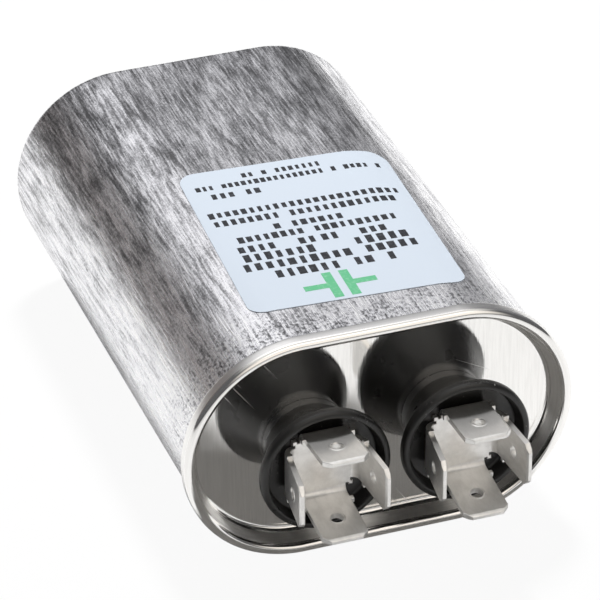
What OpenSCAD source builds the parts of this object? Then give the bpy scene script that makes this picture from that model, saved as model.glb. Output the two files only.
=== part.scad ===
// Oval motor run capacitor, lying on its flat side with the terminals towards -Y.
// Each piece is drawn upright, with the base at z = 0 and the terminals at the top,
// and is then laid down so that the label faces up.

/* [Can] */
// Width of the can over its two round ends
can_w = 53.1; // [46:0.1:64]
// Depth of the can between its flat sides
can_d = 31.5; // [28:0.1:40]
// Length from the base to the front of the rim
can_l = 80.8; // [66:0.1:120]
// Sheet of the drawn aluminium can
can_wall = 0.4; // [0.3:0.05:0.6]
// Outside radius round the base edge
base_r = 1.3; // [1:0.1:3]

/* [Lid] */
// Sheet of the steel lid
lid_t = 0.25; // [0.2:0.05:0.4]
// Height of the double seam
seam_h = 2.4; // [2:0.1:4]
// Depth of the lid's panel below the front of the rim
panel_depth = 3.2; // [3:0.1:7]
// Inside radius between the panel and the wall round it
panel_r = 1; // [0.6:0.1:1.6]
// Inward lean of that wall below the seam, in degrees
wall_lean = 17; // [5:1:25]
// Height of the sealing compound under the end of the body hook
compound_h = 0.2; // [0.1:0.05:0.4]

/* [Terminals] */
// Width of each quick-connect blade
blade_w = 6.35; // [4.8:0.05:7]
// Sheet of the terminal
blade_t = 0.8; // [0.5:0.05:1]
// Height of the blade tips over the back of the terminal's plate
blade_h = 10.2; // [8:0.1:14]
// Hole through each blade
blade_hole = 1.65; // [1.2:0.05:2.5]
// Distance of the hole's centre from the tip
hole_tip = 4.1; // [2.5:0.1:5]
// Chamfer of the tip's corners, along the blade
tip_cut = 1; // [0.4:0.1:1.8]
// Inside radius of the bends
bend_r = 0.9; // [0.5:0.1:1.5]
// Relief slot beside each blade
relief = 0.4; // [0.3:0.05:0.8]
// Width of the plate's corners beyond the relief slots
ear = 0.6; // [0.55:0.05:1.5]
// How far the bend lines lie inside the plate's edge
bend_setback = 0.3; // [0.2:0.05:0.5]
// Length of the small stops on the edges of the blades
stop_l = 0.6; // [0.3:0.05:1]
// How far the stops stand out from the blade's edges
stop_w = 0.45; // [0.2:0.05:0.8]
// Distance of the stops beyond the bend
stop_z = 0.7; // [0.3:0.05:1.5]
// Outward splay of the left terminal's blades: right, upper, left and lower, in degrees
splay_left = [3.4, 5.4, 6.8, 6.5]; // [0:0.1:12]
// Outward splay of the right terminal's blades: right, upper, left and lower, in degrees
splay_right = [3.7, 3.3, 7.5, 8]; // [0:0.1:12]
// How far the left terminal is welded off its rivet's axis, towards the label
offset_left = 0.3; // [-0.5:0.05:0.5]
// How far the right terminal is welded off its rivet's axis, towards the label
offset_right = -0.3; // [-0.5:0.05:0.5]

/* [Insulators] */
// Height of the cup's lip over the panel
cup_h = 8.9; // [7:0.1:12]
// Depth of the cup's floor below the lip
floor_depth = 2.4; // [2:0.1:4]
// Room round the terminal in the cup
cup_room = 1.3; // [0.5:0.1:2]
// Widening of the cup from its floor to its mouth
cup_draft = 0.35; // [0.1:0.05:0.8]
// Wall of the lip
lip_wall = 0.95; // [0.6:0.05:1.4]
// Height of the lip's plain band
lip_h = 1.65; // [1:0.05:1.9]
// Step between the lip and the cone under it
lip_step = 0.3; // [0.1:0.05:0.5]
// Radius of the neck that stands on the panel
neck_r = 5.9; // [5.6:0.1:7]
// Height of the neck's straight part
neck_h = 1; // [0.5:0.1:2]
// Radius of the hollow between the neck and the cone over it
hollow_r = 2; // [1:0.1:3]
// Free space between the two cups
cup_spacing = 1.7; // [1:0.1:5]
// Radius of the stem that passes through the lid
stem_r = 3.4; // [3:0.1:3.7]

/* [Terminal stack] */
// Radius of the rivet's shank
rivet_r = 1.6; // [1.2:0.1:2]
// Radius of the rivet's head
head_r = 3; // [2.5:0.1:4]
// Thickness of the rivet's head
head_t = 0.8; // [0.5:0.1:1.2]
// Radius of the rivet's rolled end
tail_r = 2.6; // [2.2:0.1:3.5]
// Thickness of the rivet's rolled end
tail_t = 0.7; // [0.5:0.1:1.2]
// Width of the gasket ring
gasket_w = 1.3; // [0.8:0.1:1.4]
// Thickness of the gasket when it is pressed
gasket_t = 0.5; // [0.3:0.05:0.9]
// Radius of the washer inside the lid
washer_r = 5.8; // [5:0.1:7]
// Thickness of the washer inside the lid
washer_t = 1.2; // [0.8:0.1:2]
// Sheet of the connecting lug
lug_t = 0.4; // [0.3:0.05:0.6]
// Width of the connecting lug and of the leads
lug_w = 4; // [3:0.1:5]

/* [Inside] */
// Free height between the rivets and the interrupter plate
trip_gap = 1.5; // [1:0.1:4]
// Thickness of the interrupter plate
plate_t = 1.6; // [1:0.1:3]
// Free height between the interrupter plate and the winding
head_space = 1.5; // [1.3:0.1:4]
// Thickness of the insulating sleeve
sleeve_t = 0.3; // [0.2:0.05:0.6]
// Space for a lead between the sleeve and the winding's wrap
lead_space = 0.6; // [0.5:0.05:1.2]
// Thickness of the strip leads
lead_t = 0.3; // [0.2:0.05:0.4]
// Length of the soldered foot of a lead
foot_l = 4; // [3:0.1:6]
// Film wrap round the winding
wrap_t = 0.4; // [0.3:0.05:0.8]
// Metal spray on each end of the winding
spray_t = 0.6; // [0.4:0.05:1]
// Width of the winding's flat core
core_w = 14; // [10:0.5:18]
// Thickness of the winding's flat core
core_t = 2.4; // [1.6:0.1:4]
// Straight height of the base pad's edge
pad_land = 0.5; // [0.4:0.1:2]

/* [Label] */
// Width of the label, seen square on
label_w = 30.3; // [20:0.1:36]
// Length of the label along the can
label_l = 37.5; // [25:0.1:45]
// Distance of the label from the front of the rim
label_inset = 9.6; // [5:0.1:15]
// Offset of the label's middle across the can
label_shift = 1.6; // [-3:0.1:3]
// Slant at which the label is stuck on, in degrees
label_skew = -3; // [-4:0.5:4]
// Corner radius of the label
label_r = 2.6; // [1:0.1:5]
// Thickness of the label
label_t = 0.1; // [0.1:0.02:0.2]

/* [Fit] */
// Clearance of round pieces that pass through one another
bore_gap = 0.05; // [0.05:0.01:0.2]
// Clearance of the inner pieces in the can
can_gap = 0.1; // [0.05:0.05:0.3]
// Clearance round the leads
lead_gap = 0.1; // [0.05:0.05:0.2]

/* [Hidden] */
$fn = 96;

// How far a cutting shape reaches past what it cuts
over = 1;

// The oval: two round ends about centres at +-centre_x, joined by flat sides
can_r = can_d / 2;
centre_x = (can_w - can_d) / 2;
inside_r = can_r - can_wall;

// The double seam, from the can's wall outwards: cover hook, body hook, lid
cover_hook_r = can_r;
body_hook_r = cover_hook_r + lid_t;
skirt_r = body_hook_r + can_wall;
rim_r = skirt_r + lid_t;
crest_r = (3 * lid_t + 2 * can_wall) / 2;
crest_x = rim_r - crest_r;
crest_z = can_l - crest_r;
turn_r = lid_t + can_wall / 2;
turn_x = rim_r - turn_r;
turn_z = can_l - seam_h + turn_r;
body_hook_z = turn_z + compound_h;
panel_z = can_l - panel_depth;
chuck_r = inside_r - lid_t;
panel_corner_z = panel_z + panel_r;
panel_corner_x = chuck_r - panel_r * cos(wall_lean)
    - tan(wall_lean) * (crest_z - panel_corner_z + panel_r * sin(wall_lean));
// The wall below the seam is drawn thinner than its bends, by this much on each side
thinned = 0.01;

// The terminal, about its own axis, from the back of its plate
plate_half = blade_w / 2 + relief + ear;
bend_x = plate_half - bend_setback;
bend_z = blade_t + bend_r;
// The straight part of a blade is coined, so each of its sides lies this far inside its bend
coin = 0.01;
bend_lap = 0.05;
blade_reach = norm([bend_x + bend_r + blade_t, blade_w / 2]);

// The insulator, about its own axis, from the lid's panel
floor_z = cup_h - floor_depth;
floor_r = blade_reach + cup_room;
mouth_r = floor_r + cup_draft;
lip_r = mouth_r + lip_wall;
lip_z = cup_h - lip_h;
edge_cut = 0.2;
pitch = 2 * lip_r + cup_spacing;
bore_r = rivet_r + bore_gap;
stem_z = -lid_t - washer_t;
gasket_in = stem_r + bore_gap;
lug_z = stem_z - lug_t;
tail_z = lug_z - tail_t;

// The stack inside the can
pad_r = inside_r - can_gap;
pad_edge = base_r - can_wall;
pad_top = can_wall + pad_edge + pad_land;
sleeve_r = pad_r - sleeve_t;
wrap_r = sleeve_r - lead_space;
winding_r = wrap_r - wrap_t;
trip_z = panel_z + tail_z - trip_gap - plate_t;
spray_back_z = pad_top + lead_t;
winding_z = spray_back_z + spray_t;
spray_front_top = trip_z - head_space;
winding_l = spray_front_top - spray_t - winding_z;

// The leads run down the lug's tail, on the side away from the label, in line with the
// cups or as far out as the can's flat side reaches
lead_x = min(pitch / 2, centre_x - lug_w / 2);
tail_y = -(washer_r - lug_t);
lead_y = tail_y - lug_t;
side_y = -wrap_r - lead_gap;
slot_y = lead_y - lead_t - lead_gap;

tip_z = panel_z + floor_z + blade_h;
base_y = tip_z / 2;

// Lays an upright piece on its flat side, with the label up
module lay() {
    translate([0, base_y, rim_r]) rotate([90, 0, 0]) children();
}

// The oval outline whose round ends have radius r
module oval(r) {
    for (side = [-1, 1]) translate([side * centre_x, 0]) circle(r);
    square([2 * centre_x, 2 * r], center = true);
}

// Sweeps a section round the oval: x is the distance from a round end's centre, y the height
module sweep_oval() {
    for (side = [-1, 1])
        translate([side * centre_x, 0, 0]) rotate([0, 0, -side * 90])
            rotate_extrude(angle = 180) children();
    for (side = [0, 1])
        mirror([0, side, 0]) translate([-centre_x, 0, 0]) rotate([90, 0, 90])
            linear_extrude(2 * centre_x) children();
}

// Ring sector between radii r1 and r2 in the quadrant or half that the box keeps
module sheet_arc(r1, r2, keep_from, keep_size) {
    intersection() {
        difference() {
            circle(r2);
            circle(r1);
        }
        translate(keep_from) square(keep_size);
    }
}

// Half ring over the top (up = 1) or under the bottom (up = -1) of a fold
module fold(r1, r2, up) {
    sheet_arc(r1, r2, [-r2, up > 0 ? 0 : -r2], [2 * r2, r2]);
}

// Quarter ring at an outer lower corner
module corner(r1, r2) {
    sheet_arc(r1, r2, [0, -r2], [r2, r2]);
}

// Upright strip of a section
module strip(x, z1, z2, t) {
    translate([x, z1]) square([t, z2 - z1]);
}

// Section of the can's wall: base corner, wall, flange over the cover hook, body hook
module can_section() {
    translate([can_r - base_r, base_r]) corner(base_r - can_wall, base_r);
    strip(inside_r, base_r, crest_z, can_wall);
    translate([crest_x, crest_z]) fold(lid_t / 2, lid_t / 2 + can_wall, 1);
    strip(body_hook_r, body_hook_z, crest_z, can_wall);
}

module can() {
    color("lightgray") lay() {
        linear_extrude(can_wall) oval(can_r - base_r);
        sweep_oval() can_section();
    }
}

// Section of the bend from the panel into the leaning wall, and of the wall
module lid_wall() {
    foot_a = wall_lean + 3;
    reach = 2 * (panel_r + lid_t);
    function foot(r) = [panel_corner_x + r * cos(foot_a), panel_corner_z - r * sin(foot_a)];
    translate([panel_corner_x, panel_corner_z]) intersection() {
        corner(panel_r, panel_r + lid_t);
        polygon([[0, 0], [0, -reach], [reach, -reach], [reach, -reach * tan(wall_lean)]]);
    }
    polygon([[chuck_r, crest_z], foot(panel_r + thinned), foot(panel_r + lid_t - thinned),
        [chuck_r + lid_t, crest_z]]);
}

// Section of the lid's edge: wall, crest, skirt, turn, cover hook
module lid_section() {
    lid_wall();
    translate([crest_x, crest_z]) fold(crest_r - lid_t, crest_r, 1);
    strip(skirt_r, turn_z, crest_z, lid_t);
    translate([turn_x, turn_z]) fold(turn_r - lid_t, turn_r, -1);
    strip(cover_hook_r, turn_z, crest_z, lid_t);
}

module lid() {
    color("silver") lay() {
        translate([0, 0, panel_z - lid_t]) linear_extrude(lid_t) difference() {
            oval(panel_corner_x);
            for (side = [-1, 1]) translate([side * pitch / 2, 0]) circle(stem_r + bore_gap);
        }
        sweep_oval() lid_section();
    }
}

// The compound fills the fold of the skirt, up to the end of the body hook
module seam_compound() {
    color("olive") lay() sweep_oval() {
        strip(body_hook_r, turn_z, body_hook_z, can_wall);
        translate([turn_x, turn_z]) intersection() {
            circle(turn_r - lid_t);
            translate([-turn_r, -turn_r]) square([2 * turn_r, turn_r]);
        }
    }
}

// Rounded outline of the label, about its middle
module label_outline() {
    for (x = [-1, 1], y = [-1, 1])
        translate([x * (label_w / 2 - label_r), y * (label_l / 2 - label_r)]) circle(label_r);
    square([label_w, label_l - 2 * label_r], center = true);
    square([label_w - 2 * label_r, label_l], center = true);
}

module label() {
    color("aliceblue") lay() intersection() {
        linear_extrude(can_l) difference() {
            oval(can_r + label_t);
            oval(can_r);
        }
        translate([label_shift, can_r + label_t, can_l - label_inset - label_l / 2])
            rotate([90, label_skew, 0]) linear_extrude(can_r) label_outline();
    }
}

// Section of the moulded cup, with its neck, its stem and the bore for the rivet. The hollow
// over the neck turns from upright to the cone's slope
module insulator_section() {
    cone = atan2(lip_r - lip_step - neck_r, lip_z - neck_h);
    difference() {
        polygon(concat(
            [[bore_r, stem_z], [stem_r, stem_z], [stem_r, 0], [neck_r, 0]],
            [for (k = [0:6]) [neck_r + hollow_r * (1 - cos(cone * k / 6)),
                neck_h + hollow_r * sin(cone * k / 6)]],
            [[lip_r - lip_step, lip_z], [lip_r, lip_z + lip_step], [lip_r, cup_h - edge_cut],
            [lip_r - edge_cut, cup_h], [mouth_r, cup_h], [floor_r, floor_z],
            [head_r + bore_gap, floor_z], [head_r + bore_gap, floor_z - head_t],
            [bore_r, floor_z - head_t]]));
        translate([gasket_in, 0]) square([gasket_w + bore_gap, gasket_t]);
    }
}

module insulator(side) {
    color([0.13, 0.13, 0.13]) lay() at_terminal(side) rotate_extrude() insulator_section();
}

// Places a piece on a terminal's axis, at the face of the lid's panel
module at_terminal(side) {
    translate([side * pitch / 2, 0, panel_z]) children();
}

module gasket(side) {
    color("dimgray") lay() at_terminal(side) rotate_extrude()
        translate([gasket_in, 0]) square([gasket_w, gasket_t]);
}

module inner_washer(side) {
    color("saddlebrown") lay() at_terminal(side) translate([0, 0, stem_z])
        linear_extrude(washer_t) difference() {
            circle(washer_r);
            circle(stem_r + bore_gap);
        }
}

module rivet(side) {
    color("gainsboro") lay() at_terminal(side) {
        translate([0, 0, floor_z - head_t]) cylinder(h = head_t, r = head_r);
        translate([0, 0, tail_z]) cylinder(h = floor_z - tail_z, r = rivet_r);
        translate([0, 0, tail_z]) cylinder(h = tail_t, r = tail_r);
    }
}

// One bent blade towards +x, leaning outwards, with its stops, bevelled tip, cut corners and hole
module blade(lean) {
    l = (blade_h - bend_z + bend_r * sin(lean)) / cos(lean);
    t = blade_t - 2 * coin;
    bevel = t / 5;
    translate([bend_x, 0, bend_z]) difference() {
        union() {
            rotate([90, 0, 0]) rotate([0, 0, -90]) rotate_extrude(angle = 90 - lean)
                translate([bend_r, -blade_w / 2]) square([blade_t, blade_w]);
            rotate([0, lean, 0]) translate([bend_r + coin, 0, 0]) {
                translate([0, blade_w / 2 - coin, 0]) rotate([90, 0, 0]) linear_extrude(blade_w - 2 * coin)
                    polygon([[0, -bend_lap], [t, -bend_lap], [t, l - 3 * bevel],
                        [t - bevel, l], [bevel, l], [0, l - 3 * bevel]]);
                translate([0, -blade_w / 2 - stop_w, stop_z]) cube([t, blade_w + 2 * stop_w, stop_l]);
            }
        }
        rotate([0, lean, 0]) rotate([90, 0, 90]) linear_extrude(2 * bend_z) {
            translate([0, l - hole_tip]) circle(d = blade_hole);
            for (y = [-1, 1]) translate([y * blade_w / 2, l])
                polygon([[0, -tip_cut], [y * over, -tip_cut], [y * over, over],
                    [-y * tip_cut, over], [-y * tip_cut, 0]]);
        }
    }
}

// Stamped terminal: a square plate, relieved beside each of its four blades
module terminal(side, splay, offset) {
    color("whitesmoke") lay() at_terminal(side) translate([0, offset, floor_z]) {
        linear_extrude(blade_t) difference() {
            square(2 * plate_half, center = true);
            for (k = [0:3]) rotate(90 * k)
                translate([bend_x, -blade_w / 2 - relief])
                    square([bend_setback, blade_w + 2 * relief]);
        }
        for (k = [0:3]) rotate([0, 0, 90 * k]) blade(splay[k]);
    }
}

// Lug under the washer: a ring on the rivet, and a tail bent down through the interrupter plate
module lug(side) {
    ring_z = panel_z + lug_z;
    color("goldenrod") lay() difference() {
        union() {
            translate([side * pitch / 2, 0, ring_z]) cylinder(h = lug_t, r = tail_r + lug_t);
            translate([side * lead_x - lug_w / 2, lead_y, ring_z]) cube([lug_w, -lead_y, lug_t]);
            translate([side * lead_x - lug_w / 2, lead_y, trip_z])
                cube([lug_w, lug_t, ring_z + lug_t - trip_z]);
        }
        translate([side * pitch / 2, 0, ring_z - over]) cylinder(h = lug_t + 2 * over, r = bore_r);
    }
}

// Fibre plate that holds the leads still when the lid bulges
module interrupter_plate() {
    color("peru") lay() translate([0, 0, trip_z]) linear_extrude(plate_t) difference() {
        oval(pad_r);
        for (side = [-1, 1]) translate([side * lead_x - lug_w / 2 - lead_gap, slot_y])
            square([lug_w + 2 * lead_gap, tail_y + lead_gap - slot_y]);
    }
}

// Strip of lead material, seen from the side, from height z1 to z2 at depth y
module lead_leg(y, z1, z2) {
    translate([y, z1]) square([lead_t, z2 - z1]);
}

// Extrudes a lead's side view across the lug's width
module lead(side) {
    color("darkgoldenrod") lay() translate([side * lead_x - lug_w / 2, 0, 0])
        rotate([90, 0, 90]) linear_extrude(lug_w) children();
}

// From the left lug to the front of the winding
module lead_left() {
    top = trip_z + plate_t + trip_gap / 2;
    lead(-1) {
        lead_leg(lead_y - lead_t, spray_front_top, top);
        translate([lead_y - foot_l, spray_front_top]) square([foot_l, lead_t]);
    }
}

// From the right lug, down between the wrap and the sleeve, to the back of the winding
module lead_right() {
    top = trip_z + plate_t + trip_gap / 2;
    cross_z = trip_z - (head_space + lead_t) / 2;
    lead(1) {
        lead_leg(lead_y - lead_t, cross_z, top);
        translate([side_y - lead_t, cross_z]) square([lead_y - side_y + lead_t, lead_t]);
        lead_leg(side_y - lead_t, pad_top, cross_z + lead_t);
        translate([side_y - lead_t, pad_top]) square([foot_l + lead_space, lead_t]);
    }
}

// An inner piece of the oval section, from z1 to z2
module inner(r, z1, z2) {
    translate([0, 0, z1]) linear_extrude(z2 - z1) oval(r);
}

module insulating_sleeve() {
    color("burlywood") lay() difference() {
        inner(pad_r, pad_top, trip_z);
        inner(sleeve_r, pad_top - over, trip_z + over);
    }
}

// Flat core that the film is wound on
module core(gap) {
    width = core_w + 2 * gap;
    height = core_t + 2 * gap;
    for (side = [-1, 1]) translate([side * (width - height) / 2, 0]) circle(d = height);
    square([width - height, height], center = true);
}

module winding() {
    color("lightyellow") lay() translate([0, 0, winding_z]) linear_extrude(winding_l)
        difference() {
            oval(winding_r);
            core(bore_gap);
        }
}

module winding_core() {
    color("white") lay() translate([0, 0, winding_z]) linear_extrude(winding_l) core(0);
}

module winding_wrap() {
    color("khaki") lay() difference() {
        inner(wrap_r, spray_back_z, spray_front_top);
        inner(winding_r, spray_back_z - over, spray_front_top + over);
    }
}

module end_spray(z) {
    color("gray") lay() inner(winding_r, z, z + spray_t);
}

// Dished pad that follows the base corner and carries the winding and the sleeve
module base_pad() {
    color("tan") lay() {
        inner(pad_r - pad_edge, can_wall, pad_top);
        sweep_oval() translate([pad_r - pad_edge, can_wall + pad_edge]) {
            corner(0, pad_edge);
            translate([-pad_edge, 0]) square([2 * pad_edge, pad_land]);
            translate([-pad_edge, -pad_edge]) square([pad_edge, 2 * pad_edge]);
        }
    }
}

can();
lid();
seam_compound();
label();
insulator(-1);  // insulator_left
insulator(1);  // insulator_right
terminal(-1, splay_left, offset_left);  // terminal_left
terminal(1, splay_right, offset_right);  // terminal_right
rivet(-1);  // rivet_left
rivet(1);  // rivet_right
gasket(-1);  // gasket_left
gasket(1);  // gasket_right
inner_washer(-1);  // inner_washer_left
inner_washer(1);  // inner_washer_right
lug(-1);  // lug_left
lug(1);  // lug_right
interrupter_plate();
lead_left();
lead_right();
insulating_sleeve();
winding();
winding_core();
winding_wrap();
end_spray(spray_front_top - spray_t);  // end_spray_front
end_spray(spray_back_z);  // end_spray_back
base_pad();
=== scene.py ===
# %% [markdown]
# # An oval motor run capacitor
# The object is a drawn aluminium can with a steel lid rolled onto it, two black moulded cups
# that insulate the terminals, and a film label stuck round one side. The exact solids come
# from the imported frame, so this lesson is about what the solids lack: the milky, streaked
# skin of drawn aluminium, bright tin plate, glossy moulding, printed film and studio light.

# %% Load the frame
import bpy, bmesh, math
from mathutils import Matrix, Vector


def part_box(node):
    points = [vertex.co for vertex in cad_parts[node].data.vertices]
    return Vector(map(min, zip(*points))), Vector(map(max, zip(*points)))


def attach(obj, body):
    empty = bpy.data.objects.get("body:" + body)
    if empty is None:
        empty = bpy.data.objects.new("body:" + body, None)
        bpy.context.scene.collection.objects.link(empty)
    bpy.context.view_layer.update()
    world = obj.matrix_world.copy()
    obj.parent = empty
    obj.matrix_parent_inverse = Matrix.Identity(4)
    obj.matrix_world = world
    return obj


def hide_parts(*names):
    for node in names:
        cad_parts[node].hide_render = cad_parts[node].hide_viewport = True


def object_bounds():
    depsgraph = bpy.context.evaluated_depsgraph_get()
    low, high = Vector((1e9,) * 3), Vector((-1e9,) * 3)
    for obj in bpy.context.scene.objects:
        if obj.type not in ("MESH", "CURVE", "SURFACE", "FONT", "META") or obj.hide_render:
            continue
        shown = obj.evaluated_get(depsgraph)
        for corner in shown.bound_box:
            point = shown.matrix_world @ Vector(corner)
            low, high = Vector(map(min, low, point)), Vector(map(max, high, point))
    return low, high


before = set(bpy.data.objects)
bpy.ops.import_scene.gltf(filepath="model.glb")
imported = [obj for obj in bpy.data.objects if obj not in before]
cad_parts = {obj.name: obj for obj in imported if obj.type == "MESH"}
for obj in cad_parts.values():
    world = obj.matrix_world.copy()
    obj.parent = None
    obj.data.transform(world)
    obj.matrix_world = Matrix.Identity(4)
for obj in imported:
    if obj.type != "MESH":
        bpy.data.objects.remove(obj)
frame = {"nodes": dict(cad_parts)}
cad_low, cad_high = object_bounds()
scene, nodes = bpy.context.scene, frame["nodes"]
print("pieces in the frame:", len(nodes))

# %% [markdown]
# ## Camera
# A long lens from about half a metre keeps the can's sides nearly parallel. The camera's
# place is worked out from its bearing, its tilt and where the middle of the rim's front plane
# falls in its view, which is how a product shot is set up: aim first, then step back.

# %% Camera
lid_low, lid_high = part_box("lid")
rim_middle = Vector((0, lid_low[1], (lid_low[2] + lid_high[2]) / 2))
bearing, tilt, roll = math.radians(-19.96), math.radians(31.9), math.radians(0.06)
to_middle = Vector((0.01089, 0.01780, 0.5334))      # right of the camera, below it, in front of it

right = Vector((math.cos(bearing), math.sin(bearing), 0))
ahead = Vector((-math.sin(bearing) * math.cos(tilt),
                math.cos(bearing) * math.cos(tilt), -math.sin(tilt)))
down = ahead.cross(right)
right, down = (right * math.cos(roll) + down * math.sin(roll),
               down * math.cos(roll) - right * math.sin(roll))

lens = bpy.data.cameras.new("camera")
lens.sensor_width, lens.lens = 36, 241.7
lens.clip_start, lens.clip_end = 0.05, 20
camera = bpy.data.objects.new("camera", lens)
scene.collection.objects.link(camera)
turn = Matrix((right, -down, -ahead)).transposed().to_4x4()
spot = rim_middle - right * to_middle.x - down * to_middle.y - ahead * to_middle.z
camera.matrix_world = Matrix.Translation(spot) @ turn
scene.camera = camera
print("camera at", [round(v, 3) for v in spot])

# %% [markdown]
# ## Node helper
# Shader trees are easier to read when each node is made in one line with its inputs beside
# it. An input takes a plain value, or the output of another node, which is then linked. The
# helpers after it each stand for one kind of node that comes up often.

# %% Node helper
def add(tree, kind, inputs=None, **settings):
    node = tree.nodes.new(kind)
    for name, value in settings.items():
        setattr(node, name, value)
    for name, value in (inputs or {}).items():
        if isinstance(value, bpy.types.NodeSocket):
            tree.links.new(value, node.inputs[name])
        else:
            node.inputs[name].default_value = value
    return node


def math_node(tree, operation, a, b=0.5, clamp=False):
    return add(tree, "ShaderNodeMath", {0: a, 1: b}, operation=operation, use_clamp=clamp).outputs[0]


def spread(tree, value, low, high, out_low=0.0, out_high=1.0):
    """Stretches the part of a value between low and high over the whole output range."""
    return add(tree, "ShaderNodeMapRange", {"Value": value, "From Min": low, "From Max": high,
               "To Min": out_low, "To Max": out_high}, interpolation_type="SMOOTHSTEP").outputs[0]


def blend_colour(tree, factor, a, b):
    return add(tree, "ShaderNodeMix", {0: factor, 6: a, 7: b}, data_type="RGBA").outputs[2]


def vector_node(tree, operation, a, b):
    return add(tree, "ShaderNodeVectorMath", {0: a, 1: b}, operation=operation).outputs[0]


def scaled(tree, vector, factor):
    return add(tree, "ShaderNodeVectorMath", {0: vector, "Scale": factor}, operation="SCALE").outputs[0]


def split(tree, vector):
    return add(tree, "ShaderNodeSeparateXYZ", {0: vector}).outputs


def joined(tree, x, y=0.0, z=0.0):
    return add(tree, "ShaderNodeCombineXYZ", {0: x, 1: y, 2: z}).outputs[0]


def rotated(tree, vector, axis, angle):
    return add(tree, "ShaderNodeVectorRotate", {"Vector": vector, "Axis": axis, "Angle": angle}).outputs[0]


def noise(tree, vector, scale, detail=2.0, roughness=0.5):
    return add(tree, "ShaderNodeTexNoise", {"Vector": vector, "Scale": scale, "Detail": detail,
               "Roughness": roughness}).outputs[0]


def input_sockets(tree, inputs):
    """Gives a tree its named inputs, each with its kind and the value it starts from."""
    for label, kind, value in inputs:
        socket = tree.interface.new_socket(label, in_out="INPUT", socket_type="NodeSocket" + kind)
        if value is not None:
            socket.default_value = value


# %% [markdown]
# ## Stage and light
# Bright metal shows its surroundings, so each tone on the can is the tone of some part of the
# room. The floor is white paper. The room is dark grey, with a few soft patches of light: each
# was placed by following the sight line off the curved side to where it leaves for the room.
# The patches show in mirrors but shed little light of their own, and the one lamp, high
# behind the can, sheds light but shows in no mirror. So reflections and shade can be set apart:
# the lamp draws the shade in front of the lid that makes its panel dark at the foot. To the
# camera alone the floor and the room are plain white.

# %% Floor
def seen_in_mirror(tree, rays):
    """1 where a reflection or clear plastic looks on, otherwise 0."""
    return math_node(tree, "MAXIMUM", rays["Is Glossy Ray"], rays["Is Transmission Ray"])


WHITE_TO_CAMERA, WHITE_TO_MIRROR = 0.94, 0.04       # the rest of the floor's tone is light it gets
REACH = 3.0                                         # metres from the middle to the floor's edges
floor_mesh = bpy.data.meshes.new("floor")
floor_mesh.from_pydata([(-REACH, -REACH, 0), (REACH, -REACH, 0), (REACH, REACH, 0),
                        (-REACH, REACH, 0)], [], [(0, 1, 2, 3)])
floor = bpy.data.objects.new("floor", floor_mesh)
scene.collection.objects.link(floor)

paper = bpy.data.materials.new("studio_floor")
paper.use_nodes = True
tree = paper.node_tree
tree.nodes.clear()
rays = add(tree, "ShaderNodeLightPath").outputs
lit = add(tree, "ShaderNodeBsdfDiffuse", {"Color": (0.90, 0.90, 0.90, 1)})
white = add(tree, "ShaderNodeEmission", {"Color": (1, 1, 1, 1), "Strength": 1.0})
to_camera = math_node(tree, "MULTIPLY", rays["Is Camera Ray"], WHITE_TO_CAMERA)
to_mirror = math_node(tree, "MULTIPLY", seen_in_mirror(tree, rays), WHITE_TO_MIRROR)
share = math_node(tree, "MAXIMUM", to_camera, to_mirror)
mixed = add(tree, "ShaderNodeMixShader", {0: share, 1: lit.outputs[0], 2: white.outputs[0]})
add(tree, "ShaderNodeOutputMaterial", {0: mixed.outputs[0]})
floor_mesh.materials.append(paper)

# %% World
# Each patch of the room is a soft disc: azimuth and elevation in degrees, the angles at which
# it begins and is full, the light it adds to a mirror, and how much of that it sheds on the
# object. Azimuth 0 is straight behind the can. The room has its own light and its own share.
ROOM, ROOM_SHED = (0.10, 0.10, 0.104), 0.12
PATCHES = [(0, 50, 31, 9, (0.97, 0.97, 0.99), 0.12),        # soft box behind and above
           (45, 22, 42, 12, (0.09, 0.09, 0.095), 0.12),     # paler wall on the right
           (-38, 10, 28, 6, (0.055, 0.03, 0.018), 0.12),    # brown cupboard on the left
           (168, 42, 46, 18, (0.96, 0.90, 0.82), 0.32),     # warm window in front, above the camera
           (40, 84, 48, 22, (0.64, 0.63, 0.61), 0.12)]      # ceiling


def direction(azimuth, elevation):
    a, e = math.radians(azimuth), math.radians(elevation)
    return Vector((math.sin(a) * math.cos(e), math.cos(a) * math.cos(e), math.sin(e)))


world = bpy.data.worlds.new("studio")
scene.world = world
world.use_nodes = True
tree = world.node_tree
tree.nodes.clear()
rays = add(tree, "ShaderNodeLightPath").outputs
towards = add(tree, "ShaderNodeTexCoord").outputs["Generated"]
in_mirror = seen_in_mirror(tree, rays)
room = scaled(tree, ROOM, spread(tree, in_mirror, 0, 1, ROOM_SHED, 1))
for azimuth, elevation, outer, inner, light, shed in PATCHES:
    facing = add(tree, "ShaderNodeVectorMath", {0: towards, 1: direction(azimuth, elevation)},
                 operation="DOT_PRODUCT").outputs["Value"]
    patch = spread(tree, facing, math.cos(math.radians(outer)), math.cos(math.radians(inner)))
    patch = math_node(tree, "MULTIPLY", patch, spread(tree, in_mirror, 0, 1, shed, 1))
    room = vector_node(tree, "ADD", scaled(tree, light, patch), room)
backdrop = blend_colour(tree, rays["Is Camera Ray"], room, (1, 1, 1, 1))
sky = add(tree, "ShaderNodeBackground", {"Color": backdrop, "Strength": 1.0})
add(tree, "ShaderNodeOutputWorld", {0: sky.outputs[0]})

# %% Lamp
def lamp(name, azimuth, elevation, distance, size, watts):
    light = bpy.data.lights.new(name, "AREA")
    light.shape, light.size, light.energy = "DISK", size, watts
    holder = bpy.data.objects.new(name, light)
    holder.location = direction(azimuth, elevation) * distance
    holder.rotation_mode = "QUATERNION"
    holder.rotation_quaternion = direction(azimuth, elevation).to_track_quat("Z", "Y")
    scene.collection.objects.link(holder)
    return holder


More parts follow.
